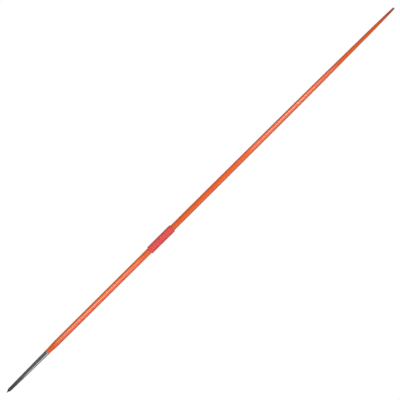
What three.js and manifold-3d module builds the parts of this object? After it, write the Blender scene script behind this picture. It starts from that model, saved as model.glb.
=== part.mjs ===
// A men's 800 g javelin: a turned steel head with a reinforced tip, a tapered alloy shaft in two halves
// joined under the grip, a cord grip and a tail plug. It lies level along X with its tip towards +X.
// The origin is the middle of the grip's underside, which rests on the XY plane.
import * as THREE from 'three';
import { mergeVertices } from 'three/addons/utils/BufferGeometryUtils.js';
import Module from 'manifold-3d';

// Whole javelin, in millimetres. Stations are measured along X from the middle of the grip.
const overallLength = 2620;
const tipToGrip = 1044; // from the point of the tip to the middle of the grip
const seatGap = 0.3; // cement or fit between one piece and the next
const roundSides = 32;
const tailStation = tipToGrip - overallLength;

// Reinforced tip
const tipLength = 9.5; // the part that stands out of the head
const tipDiameter = 5.6;
const tipConeLength = 6.5;
const tipPointDiameter = 1.6;
const tipShankDiameter = 4.4;
const tipShankLength = 20;

// Head
const headLength = 275; // from the point of the tip to the joint with the shaft
const noseFaceDiameter = 7.2;
const noseRoundLength = 22.5;
const noseDiameter = 17; // where the rounded nose runs into the taper
const headMidDiameter = 21.3; // 150 mm from the point, where the rules measure it
const headMidFromPoint = 150;
const headRearDiameter = 24.6;
const headWall = 0.9;
const noseSteps = 6;
const headSteps = 5;

// Balance weight in the head
const weightDiameter = 11.4;
const weightLength = 26;
const weightChamfer = 1;
const weightBoreSpare = 14; // bore left free behind the weight for trimming it

// Shaft
const shaftDiameter = 29.4;
const shaftWall = 1.08;
const neckLength = 70; // the front tube's neck in the socket of the head
const collarLength = 15; // of the front tube, flush with the head behind it
const shoulderLength = 60;
const shoulderSteps = 6;
const rearStraightLength = 300; // behind the middle of the grip
const tailDiameter = 10.2;
const taperSteps = 2;
// Points of the rear taper: share of its length, share of its drop in diameter
const rearTaperShares = [
  [0.2, 0.06],
  [0.4, 0.1],
  [0.6, 0.23],
  [0.76, 0.455],
  [0.89, 0.64],
  [0.97, 0.86],
];

// Sleeve that joins the two tubes
const sleeveLength = 120;
const sleeveWall = 1.3;
const sleeveChamfer = 0.6;

// Tail plug
const plugButtonLength = 5;
const plugShankLength = 24;
const plugFaceDiameter = 6.4;
const plugRoundLength = 2.4;
const plugSteps = 4;

// Grip: an adhesive underwrap, and one cord wound over it
const gripLength = 156;
const gripTurns = 24;
const cordGap = 0.5; // between one turn and the next
const cordThickness = 3.9;
const stepsPerTurn = 24;
const cordSides = 6;
const tapeThickness = 0.5;
const tapeInset = 3; // the cord covers the ends of the tape
const flatShare = 0.1; // share of the cord's thickness that is flat where the grip rests
const cutOverrun = 5;

// Stations and radii that follow from these sizes
const noseFaceStation = tipToGrip - tipLength;
const noseEndStation = noseFaceStation - noseRoundLength;
const jointStation = tipToGrip - headLength;
const neckEndStation = jointStation + neckLength;
const shankEndStation = noseFaceStation - tipShankLength;
const weightFrontStation = shankEndStation - seatGap;
const weightBoreEndStation = weightFrontStation - weightLength - weightBoreSpare;
const shaftRadius = shaftDiameter / 2;
const boreRadius = shaftRadius - shaftWall;
const collarRadius = headRearDiameter / 2;
const shoulderStation = jointStation - collarLength - shoulderLength;
const plugSeatStation = tailStation + plugButtonLength + seatGap;
const tailRadius = tailDiameter / 2;
const tailBoreRadius = tailRadius - shaftWall;
const cordPitch = (gripLength + cordGap) / (gripTurns + 1);
const cordWidth = cordPitch - cordGap;
const tapeOuterRadius = shaftRadius + seatGap + tapeThickness;
const cordInnerRadius = tapeOuterRadius + seatGap;
const flatDepth = flatShare * cordThickness;
const restHeight = cordInnerRadius + cordThickness - flatDepth;

// Finishes
const hardenedSteel = new THREE.MeshStandardMaterial({ color: 0x77777a, roughness: 0.35, metalness: 0.9 });
const headSteel = new THREE.MeshStandardMaterial({ color: 0x5e5f61, roughness: 0.3, metalness: 0.9 });
const brass = new THREE.MeshStandardMaterial({ color: 0xb5a05c, roughness: 0.35, metalness: 0.9 });
const orangeLacquer = new THREE.MeshStandardMaterial({ color: 0xe5602b, roughness: 0.25, metalness: 0.1 });
const bareAlloy = new THREE.MeshStandardMaterial({ color: 0xb9bcc0, roughness: 0.4, metalness: 0.9 });
const whiteTape = new THREE.MeshStandardMaterial({ color: 0xd9d4c8, roughness: 0.9, metalness: 0 });
const redCord = new THREE.MeshStandardMaterial({ color: 0xdf5656, roughness: 0.85, metalness: 0 });
const darkCap = new THREE.MeshStandardMaterial({ color: 0x5a4038, roughness: 0.5, metalness: 0.1 });

// A named piece turned about the javelin's axis from an outline of (radius, station) points
function turned(name, outline, material) {
  const geometry = new THREE.LatheGeometry(outline, roundSides);
  geometry.rotateZ(-Math.PI / 2);
  const mesh = new THREE.Mesh(geometry, material);
  mesh.name = name;
  return mesh;
}

function point(radius, station) {
  return new THREE.Vector2(radius, station);
}

// Radius of an outline at a station, straight between its points
function radiusAt(outline, station) {
  for (let i = 1; i < outline.length; i += 1) {
    const [before, after] = [outline[i - 1], outline[i]];
    const span = after.y - before.y;
    if (span !== 0 && (station - before.y) * (station - after.y) <= 0) {
      return before.x + ((station - before.y) / span) * (after.x - before.x);
    }
  }
  throw new Error('the station is outside the outline');
}

// The stretch of an outline between two stations, moved inwards by an inset. Outlines run from front to back.
function insetBetween(outline, from, to, inset) {
  const [start, end] = [from, to].map((station) => point(radiusAt(outline, station), station));
  const between = outline.filter((p) => (p.y - from) * (p.y - to) < 0);
  if (from < to) between.reverse();
  return [start, ...between, end].map((p) => point(p.x - inset, p.y));
}

// Outside of the head, from the edge of its nose face back to the joint
function headOutline() {
  const noseRise = (noseDiameter - noseFaceDiameter) / 2;
  const nose = [];
  for (let i = 0; i < noseSteps; i += 1) {
    const angle = (Math.PI / 2) * (i / noseSteps);
    const radius = noseFaceDiameter / 2 + noseRise * Math.sin(angle);
    nose.push(point(radius, noseEndStation + noseRoundLength * Math.cos(angle)));
  }
  const taper = new THREE.SplineCurve([
    point(noseDiameter / 2, noseEndStation),
    point(headMidDiameter / 2, tipToGrip - headMidFromPoint),
    point(headRearDiameter / 2, jointStation),
  ]);
  return [...nose, ...taper.getPoints(2 * headSteps)];
}

// Curve of the front shoulder between two radii, from its front end back
function shoulderCurve(frontRadius, rearRadius) {
  const front = jointStation - collarLength;
  const middle = (front + shoulderStation) / 2;
  return new THREE.QuadraticBezierCurve(
    point(frontRadius, front),
    point(rearRadius, middle),
    point(rearRadius, shoulderStation),
  ).getPoints(shoulderSteps);
}

// Outside of the rear half of the shaft, from the middle of the grip back to its rim at the tail
function rearOutline() {
  const taperLength = -rearStraightLength - plugSeatStation;
  const drop = shaftRadius - tailRadius;
  const stations = rearTaperShares.map(([lengthShare, dropShare]) =>
    point(shaftRadius - dropShare * drop, -rearStraightLength - lengthShare * taperLength),
  );
  const taper = new THREE.SplineCurve([
    point(shaftRadius, -rearStraightLength),
    ...stations,
    point(tailRadius, plugSeatStation),
  ]);
  return [point(shaftRadius, -seatGap / 2), ...taper.getPoints(taperSteps * (stations.length + 1))];
}

function tipPin() {
  const coneStation = tipToGrip - tipConeLength;
  const seat = noseFaceStation + seatGap;
  return turned('tip_pin', [
    point(0, shankEndStation),
    point(tipShankDiameter / 2, shankEndStation),
    point(tipShankDiameter / 2, seat),
    point(tipDiameter / 2, seat),
    point(tipDiameter / 2, coneStation),
    point(tipPointDiameter / 2, tipToGrip),
    point(0, tipToGrip),
  ], hardenedSteel);
}

function headShell(outside) {
  const holeRadius = tipShankDiameter / 2 + seatGap;
  const weightBoreRadius = weightDiameter / 2 + seatGap;
  const rim = jointStation + seatGap;
  const wallInside = insetBetween(outside, weightBoreEndStation, rim, headWall);
  return turned('head_shell', [
    ...insetBetween(outside, rim, noseFaceStation, 0),
    point(holeRadius, noseFaceStation),
    point(holeRadius, weightFrontStation),
    point(weightBoreRadius, weightFrontStation),
    point(weightBoreRadius, weightBoreEndStation),
    ...wallInside,
    point(radiusAt(outside, rim), rim),
  ], headSteel);
}

function balanceWeight() {
  const front = weightFrontStation - seatGap;
  const rear = front - weightLength;
  const radius = weightDiameter / 2;
  return turned('balance_weight', [
    point(0, rear),
    point(radius - weightChamfer, rear),
    point(radius, rear + weightChamfer),
    point(radius, front - weightChamfer),
    point(radius - weightChamfer, front),
    point(0, front),
  ], brass);
}

function frontTube(headOutside) {
  const neck = insetBetween(headOutside, neckEndStation, jointStation, headWall + seatGap);
  const neckBore = neck.map((p) => point(p.x - shaftWall, p.y));
  const butt = seatGap / 2;
  return turned('front_tube', [
    point(boreRadius, butt),
    point(shaftRadius, butt),
    ...shoulderCurve(collarRadius, shaftRadius).reverse(),
    point(collarRadius, jointStation),
    ...neck.reverse(),
    ...neckBore,
    ...shoulderCurve(neckBore.at(-1).x, boreRadius),
    point(boreRadius, butt),
  ], orangeLacquer);
}

function rearTube() {
  const outside = rearOutline();
  const boreEnd = plugSeatStation + plugShankLength + seatGap;
  const bore = insetBetween(outside, -seatGap / 2, boreEnd, shaftWall);
  return turned('rear_tube', [
    ...bore,
    point(tailBoreRadius, boreEnd),
    point(tailBoreRadius, plugSeatStation),
    ...outside.reverse(),
    bore[0],
  ], orangeLacquer);
}

function jointSleeve() {
  const outer = boreRadius - seatGap;
  const half = sleeveLength / 2;
  return turned('joint_sleeve', [
    point(outer - sleeveChamfer, -half),
    point(outer, sleeveChamfer - half),
    point(outer, half - sleeveChamfer),
    point(outer - sleeveChamfer, half),
    point(outer - sleeveWall, half),
    point(outer - sleeveWall, -half),
    point(outer - sleeveChamfer, -half),
  ], bareAlloy);
}

function tailPlug() {
  const shankRadius = tailBoreRadius - seatGap;
  const rim = tailStation + plugButtonLength;
  const fall = tailRadius - plugFaceDiameter / 2;
  const rounding = [];
  for (let i = 0; i <= plugSteps; i += 1) {
    const angle = (Math.PI / 2) * (i / plugSteps);
    const radius = tailRadius - fall * (1 - Math.sin(angle));
    rounding.push(point(radius, tailStation + plugRoundLength * (1 - Math.cos(angle))));
  }
  return turned('tail_plug', [
    point(0, tailStation),
    ...rounding,
    point(tailRadius, rim),
    point(shankRadius, rim),
    point(shankRadius, rim + plugShankLength),
    point(0, rim + plugShankLength),
  ], darkCap);
}

function gripTape() {
  const inner = shaftRadius + seatGap;
  const half = gripLength / 2 - tapeInset;
  return turned('grip_tape', [
    point(inner, -half),
    point(tapeOuterRadius, -half),
    point(tapeOuterRadius, half),
    point(inner, half),
    point(inner, -half),
  ], whiteTape);
}

// Section of the cord at a place on its way: flat outside and inside, with corners fore and aft
function cordSection(centre, radial, along) {
  const axial = new THREE.Vector3().crossVectors(along, radial).normalize();
  const sideAngle = (2 * Math.PI) / cordSides;
  const height = cordThickness / 2 / Math.sin(sideAngle);
  return Array.from({ length: cordSides }, (_, side) => centre.clone()
    .addScaledVector(axial, (cordWidth / 2) * Math.cos(side * sideAngle))
    .addScaledVector(radial, height * Math.sin(side * sideAngle)));
}

// The cord's way round the shaft, from the front to the rear. Its chords are level at the underside, where it
// starts and ends, and each end runs straight there for the cord's thickness.
function cordWay() {
  const stepAngle = (2 * Math.PI) / stepsPerTurn;
  const level = cordInnerRadius + cordThickness / 2;
  const radius = level / Math.cos(stepAngle / 2);
  const way = [];
  for (let i = 0; i < gripTurns * stepsPerTurn; i += 1) {
    const turn = (i + 0.5) / stepsPerTurn;
    const angle = 2 * Math.PI * turn - Math.PI / 2;
    const radial = new THREE.Vector3(0, Math.cos(angle), Math.sin(angle));
    const centre = radial.clone().multiplyScalar(radius).setX(cordPitch * (gripTurns / 2 - turn));
    way.push({ centre, radial });
  }
  const down = new THREE.Vector3(0, 0, -1);
  const along = new THREE.Vector3(-cordPitch, 2 * Math.PI * level, 0).normalize();
  const run = level * Math.tan(stepAngle / 2) + cordThickness;
  const start = way[0].centre.clone().addScaledVector(along, -run);
  const end = way.at(-1).centre.clone().addScaledVector(along, run);
  return [{ centre: start, radial: down }, ...way, { centre: end, radial: down }];
}

function cordSections() {
  const way = cordWay();
  return way.map(({ centre, radial }, i) => {
    const from = way[Math.max(i - 1, 0)].centre;
    const to = way[Math.min(i + 1, way.length - 1)].centre;
    const arriving = centre.clone().sub(from).normalize();
    const leaving = to.clone().sub(centre).normalize();
    return cordSection(centre, radial, arriving.add(leaving));
  });
}

// Least distance from the corners of one turn to the edges of the next
function leastSelfGap(sections) {
  let least = Infinity;
  const edge = new THREE.Line3();
  const nearest = new THREE.Vector3();
  for (let i = 0; i + stepsPerTurn < sections.length; i += 1) {
    for (let j = i + stepsPerTurn - 1; j <= i + stepsPerTurn && j + 1 < sections.length; j += 1) {
      for (const corner of sections[i]) {
        sections[j].forEach((start, side) => {
          edge.set(start, sections[j + 1][side]).closestPointToPoint(corner, true, nearest);
          least = Math.min(least, corner.distanceTo(nearest));
        });
      }
    }
  }
  return least;
}

// One closed tube through the sections, capped at both ends
function tubeThrough(sections) {
  const sides = sections[0].length;
  const positions = sections.flat().flatMap((corner) => corner.toArray());
  const faces = [];
  for (let i = 0; i + 1 < sections.length; i += 1) {
    for (let side = 0; side < sides; side += 1) {
      const a = i * sides + side;
      const b = i * sides + ((side + 1) % sides);
      faces.push(a, a + sides, b, b, a + sides, b + sides);
    }
  }
  const last = (sections.length - 1) * sides;
  for (let side = 1; side + 1 < sides; side += 1) {
    faces.push(0, side, side + 1, last, last + side + 1, last + side);
  }
  const geometry = new THREE.BufferGeometry();
  geometry.setAttribute('position', new THREE.Float32BufferAttribute(positions, 3));
  geometry.setIndex(faces);
  return geometry;
}

// Closed geometry as a solid for joining and cutting
function solidOf(wasm, geometry) {
  const plain = geometry.clone();
  plain.deleteAttribute('normal');
  plain.deleteAttribute('uv');
  const merged = mergeVertices(plain);
  return new wasm.Manifold(new wasm.Mesh({
    numProp: 3,
    vertProperties: new Float32Array(merged.attributes.position.array),
    triVerts: new Uint32Array(merged.index.array),
  }));
}

function geometryOf(solid) {
  const mesh = solid.getMesh();
  const geometry = new THREE.BufferGeometry();
  geometry.setAttribute('position', new THREE.BufferAttribute(mesh.vertProperties, 3));
  geometry.setIndex(new THREE.BufferAttribute(mesh.triVerts, 1));
  geometry.computeVertexNormals();
  return geometry;
}

// The cord, cut flat where it rests
function gripCord(wasm) {
  const sections = cordSections();
  console.log(`grip cord: least gap between turns ${leastSelfGap(sections).toFixed(3)} mm`);
  const reach = gripLength + 2 * cutOverrun;
  const floor = new THREE.BoxGeometry(reach, 2 * restHeight, cutOverrun);
  floor.translate(0, 0, -restHeight - cutOverrun / 2);
  const cut = solidOf(wasm, tubeThrough(sections)).subtract(solidOf(wasm, floor));
  const mesh = new THREE.Mesh(geometryOf(cut), redCord);
  mesh.name = 'grip_cord';
  return mesh;
}

const wasm = await Module();
wasm.setup();
const headOutside = headOutline();
const javelin = new THREE.Group();
javelin.position.z = restHeight;
javelin.add(
  tipPin(),
  headShell(headOutside),
  balanceWeight(),
  frontTube(headOutside),
  jointSleeve(),
  rearTube(),
  tailPlug(),
  gripTape(),
  gripCord(wasm),
);

export default javelin;
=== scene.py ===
"""A men's 800 g javelin photographed from straight above: finishes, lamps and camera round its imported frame.

Sizes are in metres. X runs along the javelin towards its tip, and a station is a place along X. Z is up, and
the origin is the middle of the grip's underside, which rests on the table. Fields that explain themselves,
such as colours, depths of relief and the steps that a curve is cut into, aren't listed in the docstrings.
"""

import logging
import math
from collections.abc import Sequence
from dataclasses import dataclass
from enum import Enum

import bpy
import numpy as np
from mathutils import Matrix, Vector
from mathutils.geometry import interpolate_bezier


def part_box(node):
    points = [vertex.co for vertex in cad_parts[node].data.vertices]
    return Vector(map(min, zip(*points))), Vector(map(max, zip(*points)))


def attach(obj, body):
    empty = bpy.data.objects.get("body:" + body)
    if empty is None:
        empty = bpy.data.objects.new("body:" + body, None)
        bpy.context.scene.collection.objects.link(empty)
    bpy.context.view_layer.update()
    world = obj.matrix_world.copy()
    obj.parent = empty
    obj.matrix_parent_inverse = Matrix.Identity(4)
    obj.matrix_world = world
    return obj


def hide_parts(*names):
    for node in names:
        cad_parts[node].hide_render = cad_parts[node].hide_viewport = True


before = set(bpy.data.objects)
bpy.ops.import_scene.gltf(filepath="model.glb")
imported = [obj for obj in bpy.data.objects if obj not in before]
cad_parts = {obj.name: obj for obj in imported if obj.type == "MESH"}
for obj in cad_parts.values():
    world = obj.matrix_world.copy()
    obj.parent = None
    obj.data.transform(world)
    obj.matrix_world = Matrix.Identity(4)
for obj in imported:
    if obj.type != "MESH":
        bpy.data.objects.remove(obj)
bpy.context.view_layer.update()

BODY = "root"
WAVE_RADIANS = 20  # in one unit of Blender's wave texture at a scale of 1
log = logging.getLogger("javelin")

Colour = tuple[float, float, float, float]
Outline = list[Vector]
Piece = bpy.types.Object
Material = bpy.types.Material
Socket = bpy.types.NodeSocket
Inputs = dict[str | int, object]


class Slot(Enum):
    """Material slots of the record for the pieces built here."""

    TIP = "tip_steel"
    HEAD = "head_steel"
    SHAFT = "orange_shaft"
    TAIL = "tail_cap"
    CORD = "grip_cord"


def srgb(red: int, green: int, blue: int) -> Colour:
    """Turn a display colour into the linear colour that shaders read.

    Args:
        red, green, blue: Its channels, from 0 to 255.

    Returns:
        The linear colour with full alpha.
    """
    linear = []
    for value in (red, green, blue):
        share = value / 255
        # The sRGB curve: a straight line near black, and a power above it
        linear.append(share / 12.92 if share <= 0.04045 else ((share + 0.055) / 1.055) ** 2.4)
    return (*linear, 1.0)


def front(node: str) -> float:
    """Give the station of a node's front end."""
    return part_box(node)[1][0]


def rear(node: str) -> float:
    """Give the station of a node's rear end."""
    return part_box(node)[0][0]


def largest_radius(node: str) -> float:
    """Give the largest radius of a node that is turned about the javelin's axis."""
    low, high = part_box(node)
    return (high[1] - low[1]) / 2


def axis_height() -> float:
    """Give the height of the javelin's axis above the table."""
    low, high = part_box("head_shell")
    return (low[2] + high[2]) / 2


def at(station: float, radius: float) -> Vector:
    """Give an outline's point from its station and radius."""
    return Vector((station, radius))


def curve_through(points: Sequence[Vector], steps: int) -> Outline:
    """Run a smooth curve through points, as a Catmull-Rom spline does.

    Args:
        points: The points to pass, in order.
        steps: Steps between one point and the next.

    Returns:
        The curve's points, with both ends.
    """
    padded = [points[0], *points, points[-1]]
    curve = [points[0]]
    for before, start, end, after in zip(padded, padded[1:], padded[2:], padded[3:]):
        # The spline's handles are a sixth of the way from one neighbour of a point to the other
        leaving = start + (end - before) / 6
        arriving = end - (after - start) / 6
        curve += interpolate_bezier(start, leaving, arriving, end, steps + 1)[1:]
    return curve


def ellipse_quarter(centre: Vector, length: float, rise: float, steps: int) -> Outline:
    """Round an outline off with a quarter of an ellipse.

    Args:
        centre: The ellipse's centre.
        length: Its half axis along the javelin, negative where the quarter faces the tail.
        rise: Its half axis across the javelin.
        steps: Steps in the quarter.

    Returns:
        Points from the end of the length to the top of the rise.
    """
    angles = [math.pi / 2 * step / steps for step in range(steps + 1)]
    return [centre + at(length * math.cos(angle), rise * math.sin(angle)) for angle in angles]


def radius_of(outline: Outline, station: float) -> float:
    """Read the radius of an outline at a station, straight between its points.

    Args:
        outline: The outline.
        station: A station that it passes.

    Returns:
        The radius.
    """
    for before, after in zip(outline, outline[1:]):
        if before.x != after.x and (station - before.x) * (station - after.x) <= 0:
            share = (station - before.x) / (after.x - before.x)
            return before.y + share * (after.y - before.y)
    raise ValueError(f"no radius at station {station:.4f}")


def inset_between(outline: Outline, start: float, end: float, inset: float) -> Outline:
    """Take the stretch of an outline between two stations and move it inwards.

    Args:
        outline: An outline that runs from front to rear.
        start: Station at which the stretch starts.
        end: Station at which it ends, in front of or behind the start.
        inset: How far it moves towards the axis.

    Returns:
        The stretch, from its start to its end.
    """
    between = [point for point in outline if (point.x - start) * (point.x - end) < 0]
    if start < end:
        between.reverse()
    ends = [at(station, radius_of(outline, station)) for station in (start, end)]
    return [at(point.x, point.y - inset) for point in (ends[0], *between, ends[1])]


@dataclass(frozen=True)
class Lathe:
    """Turns outlines about the javelin's axis.

    Attributes:
        height: Height of the axis above the table.
        steps: Steps round the axis.
        edge: Width of the tiny bevel that every machined corner has.
        corner: Angle past which an outline has a corner.
    """

    height: float
    steps: int = 96
    edge: float = 0.00012
    edge_steps: int = 2
    corner: float = math.radians(28)
    merge_distance: float = 1e-6

    def draw(self, name: str, outline: Outline) -> Piece:
        """Draw an outline as a chain of edges over the axis.

        Args:
            name: Name of the new object.
            outline: Points to draw.

        Returns:
            The object, in edit mode, with the whole chain selected.
        """
        bpy.ops.object.select_all(action="DESELECT")
        # A plane that is merged into its middle leaves one point, and the chain is extruded from it
        bpy.ops.mesh.primitive_plane_add(size=self.edge)
        piece = bpy.context.object
        piece.name = name
        bpy.ops.object.mode_set(mode="EDIT")
        bpy.ops.mesh.select_all(action="SELECT")
        bpy.ops.mesh.merge(type="CENTER")
        bpy.ops.transform.translate(value=(outline[0].x, 0, self.height + outline[0].y))
        for start, end in zip(outline, outline[1:]):
            step = (end.x - start.x, 0, end.y - start.y)
            bpy.ops.mesh.extrude_region_move(TRANSFORM_OT_translate={"value": step})
        bpy.ops.mesh.select_all(action="SELECT")
        return piece

    def turn(self, name: str, outline: Outline) -> Piece:
        """Spin an outline into a closed piece with softened corners.

        Args:
            name: Name of the new piece.
            outline: Points that start and end on the axis, or close on themselves.

        Returns:
            The turned piece.
        """
        piece = self.draw(name, outline)
        bpy.ops.mesh.spin(steps=self.steps, angle=math.tau, center=(0, 0, self.height), axis=(1, 0, 0))
        bpy.ops.mesh.select_all(action="SELECT")
        bpy.ops.mesh.remove_doubles(threshold=self.merge_distance)
        bpy.ops.mesh.normals_make_consistent(inside=False)
        bpy.ops.object.mode_set(mode="OBJECT")
        bpy.ops.object.modifier_add(type="BEVEL")
        bevel = piece.modifiers[-1]
        bevel.width = self.edge
        bevel.segments = self.edge_steps
        bevel.limit_method = "ANGLE"
        bevel.angle_limit = self.corner
        bpy.ops.object.modifier_apply(modifier=bevel.name)
        bpy.ops.object.shade_smooth_by_angle(angle=self.corner)
        bpy.ops.object.modifier_add(type="WEIGHTED_NORMAL")
        normals = piece.modifiers[-1]
        normals.keep_sharp = True
        bpy.ops.object.modifier_apply(modifier=normals.name)
        return piece


@dataclass(frozen=True)
class Grain:
    """A noise pattern, and the stretch of its values that shows.

    Attributes:
        across: Grains per metre round the javelin.
        along: Grains per metre along it.
        seed: Slides the pattern, so that no two are alike.
        low: Value up to which the pattern doesn't show.
        high: Value from which it shows in full.
        detail: How many finer layers lie on the coarsest.
        layer_share: Strength of each layer as a share of the coarser one's.
    """

    across: float
    along: float
    seed: float = 0.0
    low: float = 0.0
    high: float = 1.0
    detail: float = 3.0
    layer_share: float = 0.6


class Nodes:
    """The node tree of a material, a lamp or a world, with short ways to add to it."""

    def __init__(self, owner: Material | bpy.types.Light | bpy.types.World) -> None:
        """Start on the tree of its owner."""
        owner.use_nodes = True
        self.tree = owner.node_tree

    def fill(self, node: bpy.types.Node, inputs: Inputs) -> None:
        """Link or set the inputs of a node.

        Args:
            node: The node whose inputs are filled.
            inputs: For each input's name or number, a socket to link or a value to set.
        """
        for key, value in inputs.items():
            if isinstance(value, Socket):
                self.tree.links.new(value, node.inputs[key])
            else:
                node.inputs[key].default_value = value

    def add(self, kind: str, inputs: Inputs, **settings: object) -> bpy.types.Node:
        """Add a node.

        Args:
            kind: Blender's name for the node's type.
            inputs: Links and values, as for fill.
            **settings: The node's own settings.

        Returns:
            The new node.
        """
        node = self.tree.nodes.new(kind)
        for key, value in settings.items():
            setattr(node, key, value)
        self.fill(node, inputs)
        return node

    def maths(self, operation: str, *values: object) -> Socket:
        """Add a sum, product or other operation on one or more values."""
        return self.add("ShaderNodeMath", dict(enumerate(values)), operation=operation).outputs[0]


class Shading(Nodes):
    """A material under construction, with one Principled shader."""

    def __init__(self, name: str) -> None:
        """Start a material.

        Args:
            name: Name of the material.
        """
        self.material = bpy.data.materials.new(name)
        super().__init__(self.material)
        self.surface = self.tree.nodes["Principled BSDF"]

    def finished(self, inputs: Inputs) -> Material:
        """Fill the shader's inputs and give the material."""
        self.fill(self.surface, inputs)
        return self.material

    def place(self) -> Socket:
        """Give the place on the piece, in metres."""
        return self.add("ShaderNodeTexCoord", {}).outputs["Object"]

    def station(self) -> Socket:
        """Give the station along the javelin, in metres."""
        return self.add("ShaderNodeSeparateXYZ", {0: self.place()}).outputs[0]

    def noise(self, grain: Grain) -> Socket:
        """Add the noise of a grain.

        Args:
            grain: The grain, whose low and high don't count here.

        Returns:
            The noise, from 0 to 1.
        """
        size = (grain.along, grain.across, grain.across)
        slide = (grain.seed, grain.seed, grain.seed)
        mapping = self.add("ShaderNodeMapping", {"Vector": self.place(), "Scale": size, "Location": slide})
        noise = self.add("ShaderNodeTexNoise", {
            "Vector": mapping.outputs[0],
            "Scale": 1.0,
            "Detail": grain.detail,
            "Roughness": grain.layer_share,
        })
        return noise.outputs["Fac"]

    def pattern(self, grain: Grain, start: float = 0, end: float = 1) -> Socket:
        """Add the noise of a grain, with its low turned into start and its high into end."""
        return self.between(self.noise(grain), grain.low, grain.high, start, end)

    def between(self, value: Socket, low: float, high: float, start: float = 0, end: float = 1) -> Socket:
        """Map a value smoothly from one range to another and hold it at the ends.

        Args:
            value: The value to map.
            low: Where the first range starts.
            high: Where it ends.
            start: What low becomes.
            end: What high becomes.

        Returns:
            The mapped value.
        """
        inputs = {"Value": value, "From Min": low, "From Max": high, "To Min": start, "To Max": end}
        return self.add("ShaderNodeMapRange", inputs, interpolation_type="SMOOTHSTEP").outputs[0]

    def mix(self, share: object, first: object, second: object) -> Socket:
        """Mix two colours, with share saying how much of the second there is."""
        # The mix node's colours are its inputs 6 and 7 and its output 2
        return self.add("ShaderNodeMix", {0: share, 6: first, 7: second}, data_type="RGBA").outputs[2]

    def bump(self, height: Socket, depth: float, below: Socket | None = None) -> Socket:
        """Add relief to the surface.

        Args:
            height: Relief from 0 to 1.
            depth: Its real depth in metres.
            below: Normal of the relief that this one lies on.

        Returns:
            The bumped normal.
        """
        inputs = {"Height": height, "Distance": depth, "Strength": 1.0}
        if below is not None:
            inputs["Normal"] = below
        return self.add("ShaderNodeBump", inputs).outputs[0]


@dataclass(frozen=True)
class Lacquer:
    """Glossy orange lacquer with a faint orange peel, hairline scuffs and painted shade towards the tail.

    Attributes:
        tail_shade_start: Station from which the painted shade grows towards the tail.
        tail_shade_end: Station at which it is strongest.
        deeper: Colour of the lacquer where it lies a little thicker.
        scuff: Hairlines in the clear coat.
        scuff_share: How much of their own colour the hairlines show.
        scuff_roughness: Roughness that they add to the clear coat.
        painted_tail_shade: Painted shade that darkens the lacquer in patches towards the tail, for the dimmer
            light there.
        tail_shade_shares: Its least and greatest strength at the tail end of the painted shade.
        painted_end_shade: Painted shade on the tail's last stretch, a darker brown.
        coat_roughness: The clear coat's least and greatest roughness without hairlines.
        peel: Pattern of the orange peel.
    """

    tail_shade_start: float
    tail_shade_end: float
    colour: Colour = srgb(230, 93, 20)
    deeper: Colour = srgb(224, 86, 16)
    thicker: Grain = Grain(9, 3, seed=5.3, low=0.35, high=0.7)
    scuff: Colour = srgb(226, 122, 82)
    hairlines: Grain = Grain(900, 9, seed=4.1, low=0.66, high=0.74, detail=1.5)
    scuff_share: float = 0.12
    scuff_roughness: float = 0.05
    painted_tail_shade: Colour = srgb(222, 87, 20)
    patches: Grain = Grain(60, 18, seed=7.7, low=0.3, high=0.75)
    tail_shade_shares: tuple[float, float] = (0.55, 0.95)
    painted_end_shade: Colour = srgb(176, 76, 40)
    end_shade_length: float = 0.12
    end_shade_share: float = 0.9
    smears: Grain = Grain(40, 12, seed=2.9, low=0.35, high=0.7)
    coat_roughness: tuple[float, float] = (0.1, 0.13)
    peel: Grain = Grain(420, 420, detail=1.0)
    peel_depth: float = 0.000003

    def material(self) -> Material:
        """Build the lacquer.

        Returns:
            Its material.
        """
        shading = Shading("orange_lacquer")
        colour = shading.mix(shading.pattern(self.thicker), self.colour, self.deeper)
        hairline = shading.pattern(self.hairlines)
        colour = shading.mix(shading.maths("MULTIPLY", hairline, self.scuff_share), colour, self.scuff)
        # Painted shade: the lacquer darkens in patches towards the tail, standing in for the dimmer light
        # there.
        reach = shading.between(shading.station(), self.tail_shade_end, self.tail_shade_start, 1.0, 0.0)
        patchy = shading.pattern(self.patches, *self.tail_shade_shares)
        colour = shading.mix(shading.maths("MULTIPLY", reach, patchy), colour, self.painted_tail_shade)
        # Painted shade: the tail's last stretch is coloured darker brown, standing in for the shade of its
        # thin sides.
        end_shade_start = self.tail_shade_end + self.end_shade_length
        painted_end_shade = shading.between(shading.station(), self.tail_shade_end, end_shade_start, self.end_shade_share, 0.0)
        smear = shading.pattern(self.smears, *self.coat_roughness)
        return shading.finished({
            "Base Color": shading.mix(painted_end_shade, colour, self.painted_end_shade),
            "Roughness": 0.5,
            "Specular IOR Level": 0.2,
            "Coat Weight": 1.0,
            "Coat Roughness": shading.maths("MULTIPLY_ADD", hairline, self.scuff_roughness, smear),
            "Coat IOR": 1.55,
            "Coat Normal": shading.bump(shading.noise(self.peel), self.peel_depth),
        })


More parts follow.
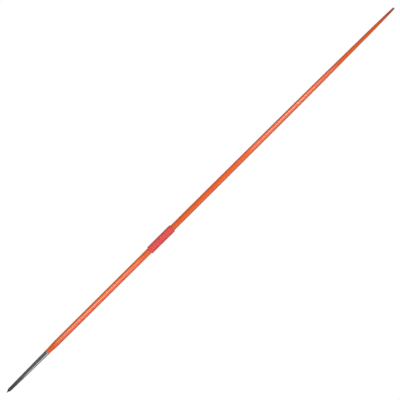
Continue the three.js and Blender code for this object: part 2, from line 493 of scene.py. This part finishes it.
@dataclass(frozen=True)
class TurnedSteel:
    """Dark steel finished on the lathe, browned by dirt towards the nose.

    Attributes:
        nose_station: Station of the nose's front face.
        dull: Reflection of the steel in the coarser rings.
        rings: Pattern of the fine rings that the tool left.
        ring_roughness: Roughness that the fine rings add.
        ragged: Pattern of the uneven edges of stain and dirt.
        ragged_reach: How far those edges move forwards or back.
        brown: The stain that starts some way behind the nose.
        dirt: The dry dirt on the nose itself.
        full_dirt_length: Stretch of the nose on which it is strongest.
        metal_share: Strength of the dirt from which the steel's shine fades.
    """

    nose_station: float
    colour: Colour = srgb(246, 244, 242)
    dull: Colour = srgb(232, 230, 228)
    coarse_rings: Grain = Grain(2, 70, seed=3.1, low=0.35, high=0.65)
    rings: Grain = Grain(6, 900, detail=2.0)
    ring_depth: float = 0.000002
    roughness: float = 0.065
    ring_roughness: float = 0.04
    ragged: Grain = Grain(120, 60, seed=5.5, low=0.3, high=0.7)
    ragged_reach: float = 0.006
    brown: Colour = srgb(190, 177, 171)
    stain_length: float = 0.11
    stain_share: float = 0.9
    dirt: Colour = srgb(30, 24, 23)
    dirt_length: float = 0.030
    full_dirt_length: float = 0.006
    dirt_share: float = 0.97
    metal_share: float = 0.6
    dirt_roughness: float = 0.4

    def material(self) -> Material:
        """Build the head's steel.

        Returns:
            Its material.
        """
        shading = Shading("turned_head_steel")
        rings = shading.noise(self.rings)
        colour = shading.mix(shading.pattern(self.coarse_rings), self.colour, self.dull)
        ragged = shading.pattern(self.ragged, -self.ragged_reach, self.ragged_reach)
        edge = shading.maths("ADD", shading.station(), ragged)
        nose = self.nose_station
        stain = shading.between(edge, nose - self.stain_length, nose, 0.0, self.stain_share)
        colour = shading.mix(stain, colour, self.brown)
        dirt_start, dirt_end = nose - self.dirt_length, nose - self.full_dirt_length
        dirt = shading.between(edge, dirt_start, dirt_end, 0.0, self.dirt_share)
        worn = shading.maths("MULTIPLY_ADD", rings, self.ring_roughness, self.roughness)
        return shading.finished({
            "Base Color": shading.mix(dirt, colour, self.dirt),
            "Metallic": shading.between(dirt, self.metal_share, self.dirt_share, 1.0, 0.0),
            "Specular IOR Level": 0.2,
            "Roughness": shading.maths("MULTIPLY_ADD", dirt, self.dirt_roughness, worn),
            "Normal": shading.bump(rings, self.ring_depth),
        })


@dataclass(frozen=True)
class GroundMetal:
    """Bare metal with grinding marks round it and a little tarnish.

    Attributes:
        tarnish: Colour of the metal where it is dulled.
        marks: Pattern of the grinding marks.
        roughness: Least roughness.
        mark_roughness: Roughness that the marks add.
    """

    name: str
    colour: Colour
    tarnish: Colour
    blotches: Grain = Grain(150, 90, seed=6.2, low=0.4, high=0.7)
    marks: Grain = Grain(25, 1600, detail=2.0)
    mark_depth: float = 0.000008
    roughness: float = 0.3
    mark_roughness: float = 0.25

    def material(self) -> Material:
        """Build the metal.

        Returns:
            Its material.
        """
        shading = Shading(self.name)
        marks = shading.noise(self.marks)
        return shading.finished({
            "Base Color": shading.mix(shading.pattern(self.blotches), self.colour, self.tarnish),
            "Metallic": 1.0,
            "Roughness": shading.maths("MULTIPLY_ADD", marks, self.mark_roughness, self.roughness),
            "Normal": shading.bump(marks, self.mark_depth),
        })


@dataclass(frozen=True)
class MouldedCap:
    """Rust brown moulded plastic, rubbed paler in places.

    Attributes:
        roughness: Roughness in the grain's hollows and on its tops.
    """

    colour: Colour = srgb(170, 88, 54)
    rubbed: Colour = srgb(184, 106, 72)
    rubs: Grain = Grain(500, 500, seed=8.4, low=0.45, high=0.7)
    grain: Grain = Grain(2500, 2500, low=0.3, high=0.7, detail=2.0)
    grain_depth: float = 0.00002
    roughness: tuple[float, float] = (0.45, 0.65)

    def material(self) -> Material:
        """Build the plastic.

        Returns:
            Its material.
        """
        shading = Shading("moulded_cap")
        return shading.finished({
            "Base Color": shading.mix(shading.pattern(self.rubs), self.colour, self.rubbed),
            "Roughness": shading.pattern(self.grain, *self.roughness),
            "Normal": shading.bump(shading.noise(self.grain), self.grain_depth),
        })


@dataclass(frozen=True)
class ClothTape:
    """Cotton adhesive tape with a plain weave, wound under the cord.

    Attributes:
        gap: What shows between the threads.
        threads: Threads per metre.
        uneven: How far the threads waver.
        roughness: Roughness between the threads and on their tops.
    """

    colour: Colour = srgb(214, 206, 190)
    gap: Colour = srgb(168, 158, 140)
    threads: float = 1800
    uneven: float = 0.4
    weave_depth: float = 0.00008
    roughness: tuple[float, float] = (0.95, 0.8)

    def material(self) -> Material:
        """Build the cloth.

        Returns:
            Its material.
        """
        shading = Shading("cloth_tape")
        scale = self.threads * math.tau / WAVE_RADIANS
        waves = []
        for direction in ("X", "Z"):
            inputs = {"Vector": shading.place(), "Scale": scale, "Distortion": self.uneven}
            wave = shading.add("ShaderNodeTexWave", inputs, bands_direction=direction)
            waves.append(wave.outputs["Fac"])
        weave = shading.maths("MULTIPLY", *waves)
        return shading.finished({
            "Base Color": shading.mix(weave, self.gap, self.colour),
            "Roughness": shading.between(weave, 0.0, 1.0, *self.roughness),
            "Normal": shading.bump(weave, self.weave_depth),
        })


@dataclass(frozen=True)
class BraidedCotton:
    """Pinkish red braided cord: yarns that lie along each plait, painted shade in the creases and a little
    wear.

    Attributes:
        painted_crease_shade: Painted shade, the yarn darkened in the shade between plaits.
        crease_share: Height up to which a plait is shaded, as a share of its crown's.
        faded: The yarn where hands have worn it.
        yarns: Yarns side by side in one plait.
        roughness: Roughness between the yarns and on them.
        fuzz: Pattern of the loose fibres.
    """

    colour: Colour = srgb(236, 86, 84)
    painted_crease_shade: Colour = srgb(212, 66, 66)
    crease_share: float = 0.35
    faded: Colour = srgb(236, 100, 94)
    wear: Grain = Grain(70, 70, seed=9.1, low=0.4, high=0.75)
    faded_share: float = 0.6
    yarns: int = 3
    yarn_depth: float = 0.00003
    roughness: tuple[float, float] = (0.95, 0.8)
    fuzz: Grain = Grain(2600, 2600, detail=2.0)
    fuzz_depth: float = 0.00003

    def material(self) -> Material:
        """Build the cord's cotton. Its UV map counts plaits along and round the cord.

        Returns:
            Its material.
        """
        shading = Shading("braided_red_cord")
        counts = shading.add("ShaderNodeTexCoord", {}).outputs["UV"]
        plaits = shading.add("ShaderNodeSeparateXYZ", {0: counts})
        along, round_cord = plaits.outputs[0], plaits.outputs[1]
        lays = [shading.maths(operation, round_cord, along) for operation in ("ADD", "SUBTRACT")]
        # Half a wave lies across each plait
        crowns = [shading.maths("ABSOLUTE", self.wave(shading, lay, 0.5)) for lay in lays]
        crown = shading.maths("MULTIPLY", *crowns)
        # Like the squares of a chessboard, plaits of one lay and of the other are on top in turn
        cells = shading.maths("ADD", *[shading.maths("FLOOR", lay) for lay in lays])
        odd = shading.maths("FLOORED_MODULO", cells, 2.0)
        even = shading.maths("SUBTRACT", 1.0, odd)
        left, right = [self.wave(shading, lay, self.yarns) for lay in lays]
        yarn = shading.maths("MULTIPLY_ADD", right, even, shading.maths("MULTIPLY", left, odd))
        # Painted shade: the yarn between plaits is coloured darker where the crowns are low.
        colour = shading.mix(shading.between(crown, 0.0, self.crease_share), self.painted_crease_shade, self.colour)
        worn = shading.pattern(self.wear, 0.0, self.faded_share)
        fuzz = shading.bump(shading.noise(self.fuzz), self.fuzz_depth)
        return shading.finished({
            "Base Color": shading.mix(shading.maths("MULTIPLY", worn, crown), colour, self.faded),
            "Roughness": shading.between(yarn, -1.0, 1.0, *self.roughness),
            "Normal": shading.bump(yarn, self.yarn_depth, fuzz),
            "Sheen Weight": 0.15,
            "Sheen Roughness": 0.5,
        })

    @staticmethod
    def wave(shading: Shading, lay: Socket, waves: float) -> Socket:
        """Give a sine wave with so many waves across each plait."""
        return shading.maths("SINE", shading.maths("MULTIPLY", lay, math.tau * waves))


def fit(piece: Piece, material: Material, slot: Slot, *nodes: str) -> None:
    """Dress a piece and put it in the place of the nodes that it stands for.

    Args:
        piece: The new piece.
        material: Its only material.
        slot: The record's slot for the piece; not used.
        *nodes: Nodes that it replaces.
    """
    piece.data.materials.clear()
    piece.data.materials.append(material)
    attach(piece, BODY)
    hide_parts(*nodes)
    log.info("%s stands for %s, %d faces", piece.name, ", ".join(nodes), len(piece.data.polygons))


def refinish(node: str, material: Material) -> None:
    """Give a node of the frame a better material.

    Args:
        node: Name of the node.
        material: Its new material.
    """
    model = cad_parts[node]
    model.data.materials.clear()
    model.data.materials.append(material)
    log.info("%s keeps its shape and has the finish %s", node, material.name)


@dataclass(frozen=True)
class Head:
    """The metal head: a hardened tip pin, a turned shell and the balance weight in its bore.

    Attributes:
        fit_gap: Gap between one piece and the next.
        nose_face_radius: Radius of the nose's flat front face.
        nose_length: Length of the rounded nose.
        nose_radius: Radius where the nose runs into the taper.
        middle_radius: Radius at the rules' measuring point.
        middle_from_tip: Distance of that point from the tip.
        wall: Wall of the socket.
        bore_spare: Bore left free behind the weight.
        pin_cone_length: Length of the pin's cone, with its point.
        pin_point_radius: Radius of that point.
    """

    lathe: Lathe
    fit_gap: float = 0.0003
    nose_face_radius: float = 0.0036
    nose_length: float = 0.0195
    nose_radius: float = 0.0085
    middle_radius: float = 0.01065
    middle_from_tip: float = 0.150
    wall: float = 0.0009
    bore_spare: float = 0.014
    pin_shank_radius: float = 0.0022
    pin_cone_length: float = 0.0050
    pin_point_radius: float = 0.0018
    pin_chamfer: float = 0.0003
    nose_steps: int = 14
    taper_steps: int = 16
    point_steps: int = 5

    def outside(self) -> Outline:
        """Draw the outside of the shell.

        Returns:
            The outline from the edge of its nose face back to its rear rim.
        """
        nose_end = at(front("head_shell") - self.nose_length, self.nose_face_radius)
        rise = self.nose_radius - self.nose_face_radius
        nose = ellipse_quarter(nose_end, self.nose_length, rise, self.nose_steps)
        joint = at(rear("head_shell") - self.fit_gap, largest_radius("head_shell"))
        middle = at(front("tip_pin") - self.middle_from_tip, self.middle_radius)
        taper = curve_through([nose[-1], middle, joint], self.taper_steps)
        return nose + taper[1:]

    def tip_pin(self) -> Piece:
        """Turn the tip pin: a plain shank, a collar and a cone with a rounded point.

        Returns:
            The pin.
        """
        tip, tail = front("tip_pin"), rear("tip_pin")
        seat = front("head_shell") + self.fit_gap
        collar = largest_radius("tip_pin")
        chamfer, shank = self.pin_chamfer, self.pin_shank_radius
        rounding = self.pin_point_radius
        point = ellipse_quarter(at(tip - rounding, 0), rounding, rounding, self.point_steps)
        return self.lathe.turn("tip_pin_ground", [
            at(tail, 0),
            at(tail, shank - chamfer),
            at(tail + chamfer, shank),
            at(seat, shank),
            at(seat, collar - chamfer),
            at(seat + chamfer, collar),
            at(tip - self.pin_cone_length, collar),
            *reversed(point),
        ])

    def shell(self) -> Piece:
        """Turn the shell: its outside, the pin's hole, the weight's bore and the socket.

        Returns:
            The shell.
        """
        outside = self.outside()
        nose, rim = front("head_shell"), rear("head_shell")
        pin_hole = self.pin_shank_radius + self.fit_gap
        bore = largest_radius("balance_weight") + self.fit_gap
        bore_front = front("balance_weight") + self.fit_gap
        bore_rear = rear("balance_weight") + self.fit_gap - self.bore_spare
        start = at(rim, radius_of(outside, rim))
        return self.lathe.turn("head_shell_turned", [
            *inset_between(outside, rim, nose, 0),
            at(nose, pin_hole),
            at(bore_front, pin_hole),
            at(bore_front, bore),
            at(bore_rear, bore),
            *inset_between(outside, bore_rear, rim, self.wall),
            start,
        ])

    def build(self) -> None:
        """Build and dress the head."""
        tip_steel = GroundMetal("ground_tip_steel", srgb(72, 65, 62), tarnish=srgb(54, 48, 46))
        marks = Grain(25, 900, detail=2.0)
        brass = GroundMetal("turned_brass", srgb(206, 180, 106), tarnish=srgb(158, 128, 70), marks=marks)
        fit(self.tip_pin(), tip_steel.material(), Slot.TIP, "tip_pin")
        fit(self.shell(), TurnedSteel(front("head_shell")).material(), Slot.HEAD, "head_shell")
        refinish("balance_weight", brass.material())


@dataclass(frozen=True)
class Shaft:
    """The lacquered shaft: a front tube with a shoulder and a neck, and a long tapered rear tube.

    Attributes:
        head_outside: Outline of the head, whose socket the neck fits.
        head_wall: Wall of that socket.
        collar_length: Stretch that is flush with the head.
        shoulder_length: Stretch over which the shaft swells to its full size.
        straight_rear: Station at which the rear taper starts.
        plug_shank_length: Depth of the bore for the tail plug.
        taper_shares: Points of the rear taper, as shares of its length and of its drop in radius.
        tail_shade_start: Station from which painted shade darkens the lacquer towards the tail.
    """

    lathe: Lathe
    head_outside: Outline
    head_wall: float
    fit_gap: float = 0.0003
    wall: float = 0.00108
    collar_length: float = 0.015
    shoulder_length: float = 0.060
    straight_rear: float = -0.300
    tail_radius: float = 0.0051
    plug_shank_length: float = 0.024
    taper_shares: tuple[tuple[float, float], ...] = (
        (0.2, 0.06),
        (0.4, 0.1),
        (0.6, 0.23),
        (0.76, 0.455),
        (0.89, 0.64),
        (0.97, 0.86),
    )
    tail_shade_start: float = -1.2
    shoulder_steps: int = 20
    taper_steps: int = 10

    def shoulder(self, front_radius: float, rear_radius: float) -> Outline:
        """Swell from one radius to another behind the collar.

        Args:
            front_radius: Radius at the collar.
            rear_radius: Radius behind the shoulder.

        Returns:
            The shoulder, from front to rear.
        """
        start = self.head_outside[-1].x - self.collar_length
        end = start - self.shoulder_length
        first, last = at(start, front_radius), at(end, rear_radius)
        crown = at((start + end) / 2, rear_radius)
        # Two thirds of the way to the crown, the handles make a parabola
        leaving, arriving = first.lerp(crown, 2 / 3), last.lerp(crown, 2 / 3)
        return interpolate_bezier(first, leaving, arriving, last, self.shoulder_steps + 1)

    def front_tube(self) -> Piece:
        """Turn the front tube, from its butt under the grip to its neck in the head.

        Returns:
            The tube.
        """
        butt, neck_end = rear("front_tube"), front("front_tube")
        shaft = largest_radius("front_tube")
        joint = self.head_outside[-1]
        neck = inset_between(self.head_outside, neck_end, joint.x, self.head_wall + self.fit_gap)
        neck_bore = [at(point.x, point.y - self.wall) for point in neck]
        bore = shaft - self.wall
        return self.lathe.turn("front_tube_lacquered", [
            at(butt, bore),
            at(butt, shaft),
            *reversed(self.shoulder(joint.y, shaft)),
            joint,
            *reversed(neck),
            *neck_bore,
            *self.shoulder(neck_bore[-1].y, bore),
            at(butt, bore),
        ])

    def rear_outline(self) -> Outline:
        """Draw the outside of the rear tube.

        Returns:
            The outline from its butt under the grip back to its rim.
        """
        rim, shaft = rear("rear_tube"), largest_radius("rear_tube")
        length, drop = self.straight_rear - rim, shaft - self.tail_radius
        points = [at(self.straight_rear, shaft)]
        for length_share, drop_share in self.taper_shares:
            points.append(at(self.straight_rear - length_share * length, shaft - drop_share * drop))
        points.append(at(rim, self.tail_radius))
        return [at(front("rear_tube"), shaft), *curve_through(points, self.taper_steps)]

    def rear_tube(self) -> Piece:
        """Turn the rear tube with its bore, which narrows to hold the tail plug.

        Returns:
            The tube.
        """
        outside = self.rear_outline()
        rim = rear("rear_tube")
        plug_bore = self.tail_radius - self.wall
        bore_end = rim + self.plug_shank_length + self.fit_gap
        bore = inset_between(outside, front("rear_tube"), bore_end, self.wall)
        return self.lathe.turn("rear_tube_lacquered", [
            *bore,
            at(bore_end, plug_bore),
            at(rim, plug_bore),
            *reversed(outside),
            bore[0],
        ])

    def build(self) -> None:
        """Build and dress the shaft."""
        lacquer = Lacquer(self.tail_shade_start, rear("rear_tube")).material()
        alloy = GroundMetal("drawn_alloy", srgb(205, 207, 210), tarnish=srgb(172, 174, 178))
        fit(self.front_tube(), lacquer, Slot.SHAFT, "front_tube")
        fit(self.rear_tube(), lacquer, Slot.SHAFT, "rear_tube")
        refinish("joint_sleeve", alloy.material())


@dataclass(frozen=True)
class TailPlug:
    """The moulded plug that closes the tail.

    Attributes:
        shank_radius: Radius of its shank in the tube.
        button_length: Length of the button behind the tube.
        face_radius: Radius of its flat end.
        round_length: Length over which the button rounds off.
    """

    lathe: Lathe
    shank_radius: float = 0.00372
    button_length: float = 0.005
    face_radius: float = 0.0032
    round_length: float = 0.0024
    chamfer: float = 0.0003
    round_steps: int = 8

    def build(self) -> None:
        """Build and dress the plug."""
        face, tip = rear("tail_plug"), front("tail_plug")
        radius = largest_radius("tail_plug")
        rim = face + self.button_length
        centre = at(face + self.round_length, self.face_radius)
        rounding = ellipse_quarter(centre, -self.round_length, radius - self.face_radius, self.round_steps)
        piece = self.lathe.turn("tail_plug_moulded", [
            at(face, 0),
            *rounding,
            at(rim, radius),
            at(rim, self.shank_radius),
            at(tip - self.chamfer, self.shank_radius),
            at(tip, self.shank_radius - self.chamfer),
            at(tip, 0),
        ])
        fit(piece, MouldedCap().material(), Slot.TAIL, "tail_plug")


@dataclass(frozen=True)
class Grip:
    """The wound grip: one braided cord in a single layer over cloth tape.

    Attributes:
        height: Height of the javelin's axis above the table.
        pitch: Distance from one turn to the next.
        gap: Gap between neighbouring turns at the crowns of their plaits.
        relief: How far a plait's crown stands out of its creases.
        plaits: Plaits round the cord.
        sides: Points round the cord.
        tuck_turns: Turns over which each end thins out and goes under its neighbour.
        tuck_share: Share of its thickness that an end keeps.
        squareness: Power of the cord's pressed section, which is round at 1 and squarer below it.
    """

    height: float
    pitch: float = 0.0038
    gap: float = 0.00004
    fit_gap: float = 0.0003
    relief: float = 0.0002
    plaits: int = 4
    steps_per_turn: int = 120
    steps_per_plait: int = 4
    sides: int = 16
    tuck_turns: float = 0.4
    tuck_share: float = 0.3
    squareness: float = 0.42

    def thickness_shares(self, turn: np.ndarray) -> np.ndarray:
        """Give the cord's thickness after so many turns, as a share of what it is between its ends."""
        tuck = np.clip(np.minimum(turn, turn[-1] - turn) / self.tuck_turns, 0, 1)
        return self.tuck_share + (1 - self.tuck_share) * np.sin(tuck * math.pi / 2)

    def relief_shares(self, passed: np.ndarray, around: np.ndarray) -> np.ndarray:
        """Give the height of the plaits along and round the cord, from 0 in creases to 1 on crowns."""
        crown = np.abs(np.cos(math.tau * passed)[:, None] - np.cos(self.plaits * around)[None, :]) / 2
        return np.sqrt(crown)

    def pressed(self, share: np.ndarray) -> np.ndarray:
        """Turn shares of a round section into shares of the section that the cord is pressed into."""
        return np.sign(share) * np.abs(share) ** self.squareness

    def cord_points(self) -> tuple[np.ndarray, np.ndarray]:
        """Work out the cord's surface.

        Returns:
            The points as an array of steps, sides and coordinates, and the plaits passed at each step.
        """
        outer = largest_radius("grip_cord")
        inner = largest_radius("grip_tape") + self.fit_gap
        length = front("grip_cord") - rear("grip_cord")
        turns = (length - self.pitch) / self.pitch
        step = np.arange(int(turns * self.steps_per_turn) + 1)
        turn = step / self.steps_per_turn
        passed = step / self.steps_per_plait
        around = math.tau * np.arange(self.sides) / self.sides
        thickness = (outer - inner) * self.thickness_shares(turn)
        # The cord starts on the underside and ends below the axis, so neither end shows from above
        angle = math.tau * turn - math.pi / 2
        radial = np.stack([np.zeros_like(angle), np.cos(angle), np.sin(angle)], axis=1)
        run = self.pitch * (turns / 2 - turn)
        axis = np.stack([run, 0 * run, 0 * run + self.height], axis=1)
        centre = radial * (inner + thickness / 2)[:, None] + axis
        forward = np.array([1.0, 0.0, 0.0])
        sunk = self.relief * (1 - self.relief_shares(passed, around))
        half_height = (thickness / 2)[:, None] - sunk
        half_width = (self.pitch - self.gap) / 2 * (thickness / thickness.max())[:, None] - sunk
        out = (half_height * self.pressed(np.cos(around)))[:, :, None] * radial[:, None, :]
        aside = (half_width * self.pressed(np.sin(around)))[:, :, None] * forward
        points = centre[:, None, :] + out + aside
        points[:, :, 2] = np.maximum(points[:, :, 2], 0.0)
        return points, passed

    def wound_cord(self) -> Piece:
        """Wind the cord, with a UV map that counts its plaits.

        Returns:
            The cord.
        """
        points, passed = self.cord_points()
        rows, sides = len(points), self.sides
        row, side = np.meshgrid(np.arange(rows - 1), np.arange(sides), indexing="ij")
        following = (side + 1) % sides
        corners = [row * sides + side, (row + 1) * sides + side]
        corners += [(row + 1) * sides + following, row * sides + following]
        quads = np.stack(corners, axis=-1).reshape(-1, 4)
        caps = [list(range(sides)), list(range((rows - 1) * sides, rows * sides))[::-1]]
        mesh = bpy.data.meshes.new("grip_cord_braided")
        mesh.from_pydata(points.reshape(-1, 3).tolist(), [], quads.tolist() + caps)
        along = np.stack([passed[row], passed[row + 1], passed[row + 1], passed[row]], axis=-1)
        around = np.stack([side, side, side + 1, side + 1], axis=-1) * self.plaits / sides
        plaits = np.stack([along, around], axis=-1).reshape(-1, 2)
        uv = np.zeros((len(mesh.loops), 2))
        uv[:len(plaits)] = plaits
        mesh.uv_layers.new(name="plaits").data.foreach_set("uv", uv.ravel())
        mesh.validate()
        piece = bpy.data.objects.new(mesh.name, mesh)
        bpy.context.collection.objects.link(piece)
        bpy.ops.object.select_all(action="DESELECT")
        piece.select_set(True)
        bpy.context.view_layer.objects.active = piece
        bpy.ops.object.shade_smooth()
        return piece

    def build(self) -> None:
        """Build and dress the grip."""
        fit(self.wound_cord(), BraidedCotton().material(), Slot.CORD, "grip_cord")
        refinish("grip_tape", ClothTape().material())


class Light(Enum):
    """What a lamp lights."""

    ALL = "gloss and plain colour"
    GLOSS = "gloss alone"
    COLOUR = "plain colour alone"


@dataclass(frozen=True)
class Softbox:
    """A rectangular studio lamp.

    Attributes:
        length: Its size along the javelin.
        width: Its size across.
        radiance: How bright it looks, where 1 is white.
        aim: Station that it faces.
        light: What it lights.
        end_share: Brightness of its two ends as a share of its middle's.
    """

    name: str
    centre: tuple[float, float, float]
    length: float
    width: float
    radiance: float
    aim: float
    light: Light = Light.ALL
    end_share: float = 1.0

    def hang(self) -> None:
        """Hang the lamp with its face towards the line under the javelin."""
        bpy.ops.object.light_add(type="AREA", location=self.centre)
        lamp = bpy.context.object
        lamp.name = self.name
        away = (Vector(self.centre) - Vector((self.aim, 0, 0))).normalized()
        across = away.cross(Vector((1, 0, 0))).normalized()
        turned = Matrix((across.cross(away), across, away)).transposed()
        lamp.rotation_euler = turned.to_euler()
        lamp.data.shape = "RECTANGLE"
        lamp.data.size = self.length
        lamp.data.size_y = self.width
        lamp.data.energy = math.pi * self.length * self.width * self.radiance
        lamp.visible_camera = False
        lamp.visible_diffuse = self.light is not Light.GLOSS
        lamp.visible_glossy = self.light is not Light.COLOUR
        if self.end_share < 1:
            self.fade_ends(lamp.data)
        log.info("%s hangs at %s", self.name, self.centre)

    def fade_ends(self, lamp: bpy.types.Light) -> None:
        """Dim a lamp evenly from its middle to its two ends.

        Args:
            lamp: The lamp.
        """
        nodes = Nodes(lamp)
        middle = 0.5  # along the lamp's face, which counts from 0 to 1
        face = nodes.add("ShaderNodeNewGeometry", {}).outputs["Parametric"]
        along = nodes.add("ShaderNodeSeparateXYZ", {0: face}).outputs[0]
        away = nodes.maths("PINGPONG", along, middle)
        inputs = {"Value": away, "From Max": middle, "To Min": self.end_share}
        fade = nodes.add("ShaderNodeMapRange", inputs).outputs[0]
        nodes.fill(nodes.tree.nodes["Emission"], {"Strength": fade})


@dataclass(frozen=True)
class Highlight:
    """A bright line along the top of one half of the javelin.

    Attributes:
        half: The half that it is on.
        station: Station of its middle.
        length: Length of its two lamps.
        radiance: How bright its strip looks in the middle.
    """

    half: str
    station: float
    length: float
    radiance: float


@dataclass(frozen=True)
class Studio:
    """The white table, the surroundings, the lamps and the camera.

    Attributes:
        metres_per_pixel: Scale of the photograph.
        middle: Point of the table in the middle of the photograph, along X and Y.
        tip_direction: Direction of the tip in the photograph, with y up.
        half_view: Half the angle that the camera's long lens takes in.
        sensor_width: Width of the camera's sensor, in millimetres.
        sight_factor: How far the camera sees, in heights of the camera.
        table_grey: Colour of the table for everything but the camera, dim to keep the javelin's sides dark.
        glow_share: Share of the table's white that doesn't depend on light, for the camera.
        glow_strength: Brightness of that share.
        mirrored_share: The same share where metal or gloss mirrors the table.
        room: Brightness of the surroundings for everything but the camera.
        highlights: The bright lines on the two halves.
        strip_height: Height of the strip lamps that make them.
        strip_side: Place of those strips along Y.
        strip_end_share: Brightness of their ends as a share of their middle's.
        panel_height: Height of the wide panels that light the stretch round each bright line.
        lamps: The other lamps: one for plain colour alone, one whose sheen lies on the right side, and two
            floods beyond the ends.
    """

    metres_per_pixel: float = 0.004804
    photo_side: int = 400
    middle: tuple[float, float] = (-0.2655, -0.0020)
    tip_direction: tuple[float, float] = (-0.70963, -0.70458)
    half_view: float = math.radians(2)
    sensor_width: float = 36
    sight_factor: float = 3
    table_side: float = 8.0
    table_white: Colour = (0.95, 0.95, 0.95, 1.0)
    table_grey: Colour = (0.12, 0.12, 0.12, 1.0)
    glow_share: float = 0.97
    glow_strength: float = 1.012
    mirrored_share: float = 0.05
    room: float = 0.105
    highlights: tuple[Highlight, ...] = (
        Highlight("front", station=0.445, length=0.64, radiance=9.4),
        Highlight("rear", station=-0.905, length=0.61, radiance=13.0),
    )
    strip_height: float = 3.0
    strip_side: float = -0.4
    strip_width: float = 1.1
    strip_end_share: float = 0.15
    panel_height: float = 0.9
    panel_width: float = 5.0
    panel_radiance: float = 1.15
    lamps: tuple[Softbox, ...] = (
        Softbox("overhead", (-0.2, 0.15, 1.5), 1.3, 1.0, radiance=0.95, aim=-0.2, light=Light.COLOUR),
        Softbox("right_sheen", (-0.32, 1.42, 0.72), 2.73, 1.34, 1.05, -0.32, Light.GLOSS, end_share=0.48),
        Softbox("front_flood", (2.95, 0.4, 2.6), 1.5, 1.5, radiance=3.2, aim=-0.25),
        Softbox("rear_flood", (-3.45, 0.4, 2.6), 1.5, 1.5, radiance=4.4, aim=-0.25),
    )

    def camera_height(self) -> float:
        """Give the height from which the lens takes in the whole picture."""
        return self.metres_per_pixel * self.photo_side / 2 / math.tan(self.half_view)

    def mirrored(self, station: float, height: float) -> float:
        """Give the station of a lamp that the camera sees mirrored at a station of the javelin's top."""
        return station + (station - self.middle[0]) * height / self.camera_height()

    def lay_table(self) -> None:
        """Lay a white table that keeps a soft shadow of the javelin."""
        bpy.ops.object.select_all(action="DESELECT")
        bpy.ops.mesh.primitive_plane_add(size=self.table_side)
        table = bpy.context.object
        table.name = "table"
        shading = Shading("white_table")
        path = shading.add("ShaderNodeLightPath", {})
        rays = ("Camera", "Glossy", "Transmission")
        camera, gloss, glass = [path.outputs[f"Is {ray} Ray"] for ray in rays]
        colour = shading.mix(camera, self.table_grey, self.table_white)
        shading.fill(shading.surface, {"Base Color": colour, "Roughness": 0.9, "Specular IOR Level": 0.0})
        seen = shading.maths("MULTIPLY", camera, self.glow_share)
        mirrored = shading.maths("MAXIMUM", gloss, glass)
        share = shading.maths("MULTIPLY_ADD", mirrored, self.mirrored_share, seen)
        glow = shading.add("ShaderNodeEmission", {"Color": (1, 1, 1, 1), "Strength": self.glow_strength})
        inputs = {0: share, 1: shading.surface.outputs[0], 2: glow.outputs[0]}
        mixed = shading.add("ShaderNodeMixShader", inputs)
        shading.fill(shading.tree.nodes["Material Output"], {"Surface": mixed.outputs[0]})
        table.data.materials.append(shading.material)

    def surround(self) -> None:
        """Make the surroundings white for the camera and dim for everything else."""
        world = bpy.data.worlds.new("studio")
        bpy.context.scene.world = world
        nodes = Nodes(world)
        camera = nodes.add("ShaderNodeLightPath", {}).outputs["Is Camera Ray"]
        inputs = {"Value": camera, "To Min": self.room, "To Max": 1.0}
        level = nodes.add("ShaderNodeMapRange", inputs).outputs[0]
        nodes.fill(nodes.tree.nodes["Background"], {"Color": (1, 1, 1, 1), "Strength": level})

    def light(self) -> None:
        """Hang a strip and a panel for each highlight, and then the other lamps."""
        for line in self.highlights:
            strip = self.mirrored(line.station, self.strip_height)
            panel = self.mirrored(line.station, self.panel_height)
            Softbox(
                f"{line.half}_strip", (strip, self.strip_side, self.strip_height), line.length,
                self.strip_width, line.radiance, aim=strip, end_share=self.strip_end_share,
            ).hang()
            Softbox(
                f"{line.half}_panel", (panel, 0.0, self.panel_height), line.length,
                self.panel_width, self.panel_radiance, aim=panel,
            ).hang()
        for lamp in self.lamps:
            lamp.hang()

    def aim_camera(self) -> None:
        """Look straight down from far above, turned so that the javelin lies across the picture."""
        bpy.ops.object.camera_add(location=(*self.middle, self.camera_height()))
        camera = bpy.context.object
        turn = math.atan2(self.tip_direction[1], self.tip_direction[0])
        camera.rotation_euler = (0, 0, -turn)
        camera.data.sensor_width = self.sensor_width
        camera.data.lens = camera.data.sensor_width / 2 / math.tan(self.half_view)
        camera.data.clip_end = self.sight_factor * self.camera_height()
        bpy.context.scene.camera = camera

    def build(self) -> None:
        """Set up everything round the javelin."""
        self.lay_table()
        self.surround()
        self.light()
        self.aim_camera()
        bpy.context.scene.view_settings.view_transform = "Standard"


def main() -> None:
    """Build the javelin's pieces on the frame, then the studio."""
    logging.basicConfig(level=logging.INFO, format="%(name)s: %(message)s")
    lathe = Lathe(axis_height())
    head = Head(lathe)
    head.build()
    Shaft(lathe, head.outside(), head.wall).build()
    TailPlug(lathe).build()
    Grip(lathe.height).build()
    Studio().build()


if __name__ == "__main__":
    main()
